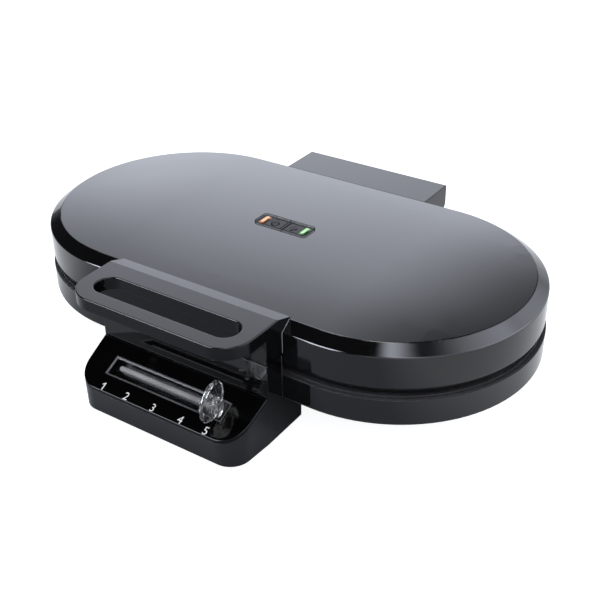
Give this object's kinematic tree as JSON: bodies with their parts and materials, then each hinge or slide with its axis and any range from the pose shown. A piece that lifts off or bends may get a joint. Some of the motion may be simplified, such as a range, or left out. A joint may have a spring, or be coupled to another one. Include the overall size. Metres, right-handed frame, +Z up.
{
  "type": "double waffle maker",
  "caption": "Countertop double waffle maker: long oval body with hinged lid, bar handle with finger slot, and a sloping console with a slide control.",
  "frame": {"origin": "on the table, under the middle of the overall box", "axes": "+X along the long oval, +Y towards the hinge at the rear, +Z up; the handle and console face -Y"},
  "size_m": [0.395, 0.2922, 0.093],
  "materials": {
    "gloss_black": "high gloss moulded",
    "console_grey": "semi gloss moulded",
    "panel_black": "satin gloss inlay",
    "trim_grey": "satin frame",
    "rail_grey": "satin drawn rod",
    "crystal": "clear moulded acrylic",
    "black_plastic": "fine grained",
    "rubber": "moulded",
    "baking_plate": "dark non-stick coating on cast aluminium",
    "heater_steel": "drawn tube, heat tinted",
    "steel": "zinc plated",
    "sheet_metal": "mill finish sheet",
    "board": "glass fibre board",
    "component_black": "moulded",
    "component_blue": "moulded",
    "terminal_white": "moulded",
    "wire_jacket": "silicone sleeve",
    "window_smoke": "clear smoked",
    "lens_orange": "tinted translucent",
    "lens_green": "tinted translucent",
    "lamp_clear": "clear epoxy"
  },
  "bodies": {
    "base": {"base_shell": "gloss_black", "board_screws": "steel", "bracket_screws": "steel", "console_floor": "black_plastic", "console_housing": "console_grey", "console_panel": "panel_black", "console_screws": "steel", "control_board": "board", "cord_grommet": "rubber", "foot_screws": "steel", "front_feet": "rubber", "guide_rail": "rail_grey", "hinge_bracket_left": "steel", "hinge_bracket_right": "steel", "hinge_clips": "steel", "hinge_floor": "black_plastic", "hinge_housing": "console_grey", "hinge_pin_left": "steel", "hinge_pin_right": "steel", "housing_screws": "steel", "lid_feed_wires": "wire_jacket", "lower_heat_shield": "sheet_metal", "lower_heater_left": "heater_steel", "lower_heater_right": "heater_steel", "lower_heater_straps": "steel", "lower_plate": "baking_plate", "lower_plate_screws": "steel", "lower_strap_screws": "steel", "mains_wires": "wire_jacket", "rear_feet": "rubber", "relay": "component_blue", "slide_pot": "component_black", "slot_trim": "trim_grey", "temperature_sensor": "sheet_metal", "terminal_block": "terminal_white", "thermal_fuse": "terminal_white"},
    "lid": {"handle_screws": "steel", "heating_lens": "lens_orange", "hinge_cap": "gloss_black", "indicator_window": "window_smoke", "lamp_board": "board", "lid_arm_left": "steel", "lid_arm_right": "steel", "lid_handle": "gloss_black", "lid_shell": "gloss_black", "lid_wires": "wire_jacket", "ready_lens": "lens_green", "rear_lid_screws": "steel", "signal_lamps": "lamp_clear", "upper_heat_shield": "sheet_metal", "upper_heater_left": "heater_steel", "upper_heater_right": "heater_steel", "upper_heater_straps": "steel", "upper_plate": "baking_plate", "upper_plate_screws": "steel", "upper_strap_screws": "steel"},
    "slider": {"slider_knob": "crystal", "slider_carriage": "black_plastic", "pot_wiper": "steel"}
  },
  "joints": [
    {"name": "lid_hinge", "type": "hinge", "parent": "base", "child": "lid", "pos_m": [0, 0.125, 0.062], "axis": [-1, 0, 0], "range_deg": [0, 100]},
    {"name": "heat_slide", "type": "slide", "parent": "base", "child": "slider", "axis": [1, 0, 0], "range_m": [-0.088, 0]}
  ]
}
